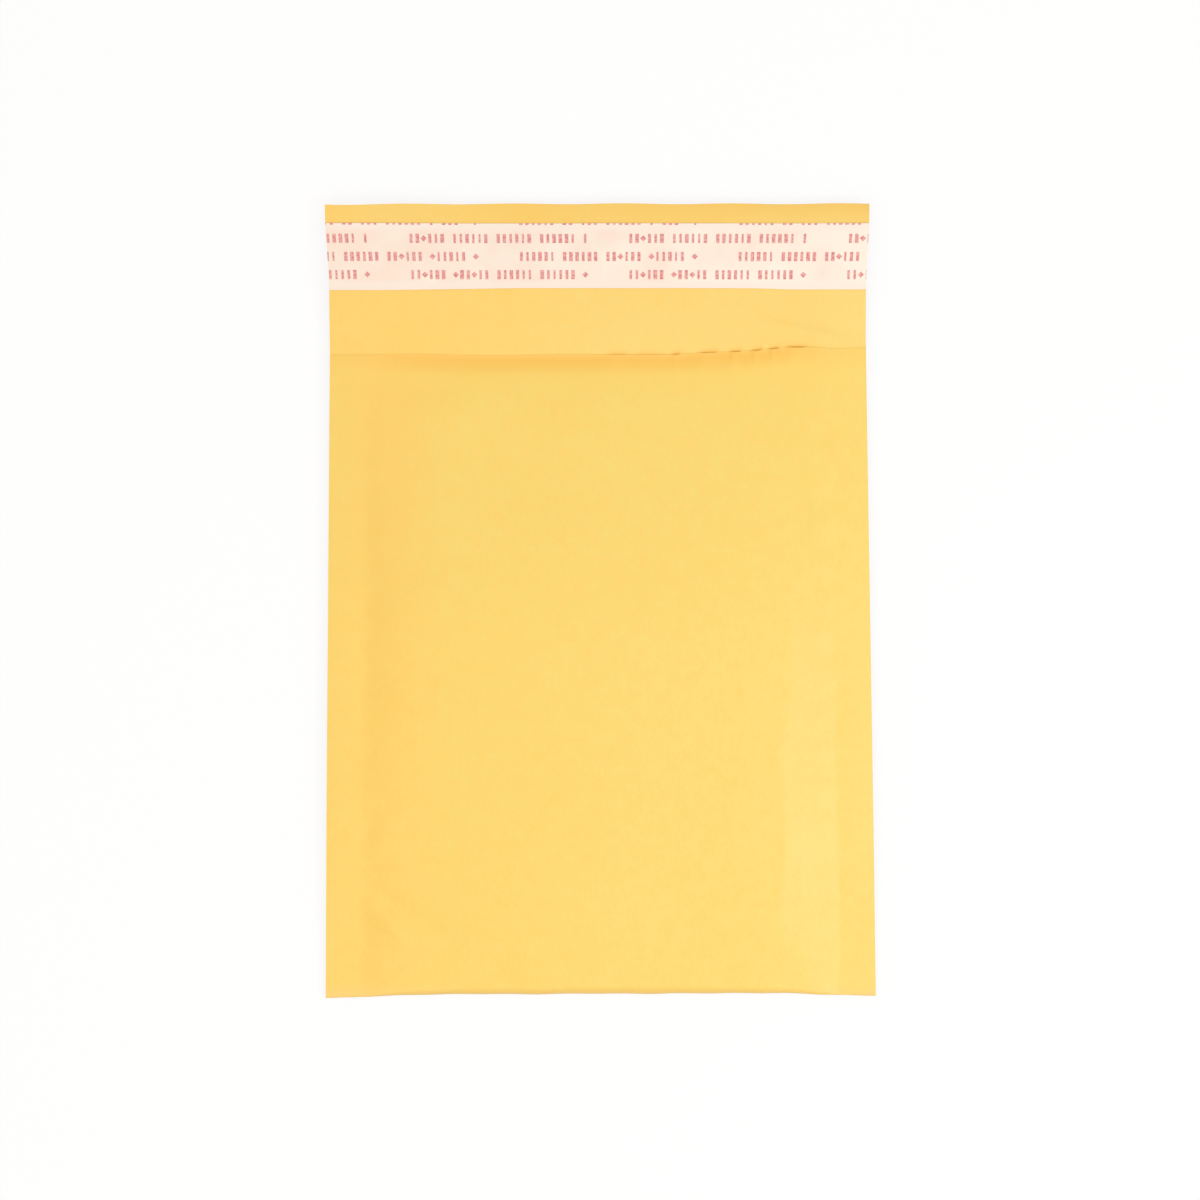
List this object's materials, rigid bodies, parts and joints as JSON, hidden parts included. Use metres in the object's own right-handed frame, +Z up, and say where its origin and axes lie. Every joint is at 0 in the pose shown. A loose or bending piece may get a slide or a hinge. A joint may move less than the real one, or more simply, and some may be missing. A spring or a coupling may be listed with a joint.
{
  "type": "padded envelope",
  "caption": "Small padded envelope of golden kraft paper lined with bubble film, empty, lying flat with its flap open and its peel-off closure strip in place.",
  "frame": {"origin": "on the table, under the middle of the object's box", "axes": "+Y from the bottom fold towards the flap, +X across the envelope, +Z up from the table through the back panel and then the front panel"},
  "size_m": [0.15, 0.216, 0.009],
  "materials": {
    "kraft_paper": "matte",
    "bubble_film": "gloss",
    "adhesive": "gloss",
    "release_paper": "satin"
  },
  "bodies": {
    "root": {"kraft_envelope": "kraft_paper", "bubble_liner": "bubble_film", "adhesive_strip": "adhesive", "release_liner": "release_paper"}
  },
  "joints": []
}
